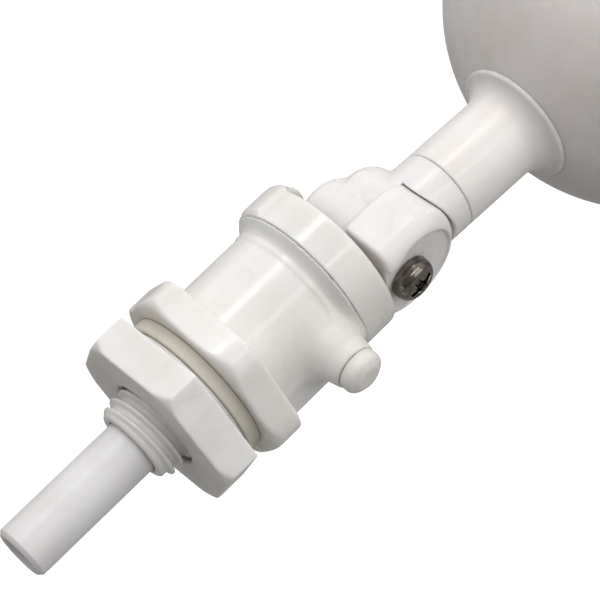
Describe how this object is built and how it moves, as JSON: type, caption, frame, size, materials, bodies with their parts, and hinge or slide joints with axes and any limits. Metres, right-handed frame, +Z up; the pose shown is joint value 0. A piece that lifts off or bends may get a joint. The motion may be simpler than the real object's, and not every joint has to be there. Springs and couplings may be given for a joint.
{
  "type": "mini float valve",
  "caption": "Small plastic float valve: push-fit inlet stem, hex bulkhead body, swinging lever, angle-clamped float arm and hollow ball float.",
  "frame": {"origin": "on the valve axis in the hex flange's sealing face, where the tank wall is clamped", "axes": "+X along the valve axis from the inlet stem towards the ball float, +Z up with the float hanging at its lower stop, screw and pin heads towards -Y"},
  "size_m": [0.1153, 0.0456, 0.0455],
  "materials": {
    "body_plastic": "satin moulded warm white plastic",
    "stem_plastic": "satin moulded cool white plastic",
    "nut_plastic": "satin moulded white plastic",
    "ball_plastic": "satin greyish white plastic",
    "gasket_rubber": "matte cream sheet rubber",
    "seal_rubber": "matte black rubber",
    "stainless": "polished stainless"
  },
  "bodies": {
    "valve": {"valve_body": "body_plastic", "inlet_stem": "stem_plastic", "orifice_nozzle": "stem_plastic", "stem_o_ring_outer": "seal_rubber", "stem_o_ring_inner": "seal_rubber", "bulkhead_gasket": "gasket_rubber", "end_cap": "body_plastic", "pivot_pin": "body_plastic"},
    "washer": {"slip_washer": "stem_plastic"},
    "nut": {"lock_nut": "nut_plastic"},
    "plunger": {"plunger": "stem_plastic", "seal_disc": "seal_rubber"},
    "lever": {"lever": "stem_plastic", "clamp_screw": "stainless"},
    "arm": {"float_arm": "body_plastic", "clamp_nut": "stainless", "clamp_lock_washer": "stainless", "neck_o_ring": "seal_rubber", "float_neck": "ball_plastic", "float_shell_near": "ball_plastic", "float_shell_far": "ball_plastic"}
  },
  "joints": [
    {"name": "float_swing", "type": "hinge", "parent": "valve", "child": "lever", "pos_m": [0.0116, 0, 0], "axis": [0, 1, 0], "range_deg": [-8, 0]},
    {"name": "plunger_travel", "type": "slide", "parent": "valve", "child": "plunger", "axis": [1, 0, 0], "range_m": [-0.00051, 0]},
    {"name": "arm_angle", "type": "hinge", "parent": "lever", "child": "arm", "pos_m": [0.02303, 0, 0], "axis": [0, 1, 0], "range_deg": [-50, 50]},
    {"name": "washer_slide", "type": "slide", "parent": "valve", "child": "washer", "axis": [-1, 0, 0], "range_m": [0, 0.004]},
    {"name": "nut_spin", "type": "hinge", "parent": "washer", "child": "nut", "pos_m": [-0.0045, 0, 0], "axis": [-1, 0, 0], "range_deg": [0, 1150]}
  ],
  "couplings": [
    {"joint": "plunger_travel", "follows": "float_swing", "m_per_rad": 0.0036},
    {"joint": "washer_slide", "follows": "nut_spin", "m_per_rad": 0.00019894}
  ]
}
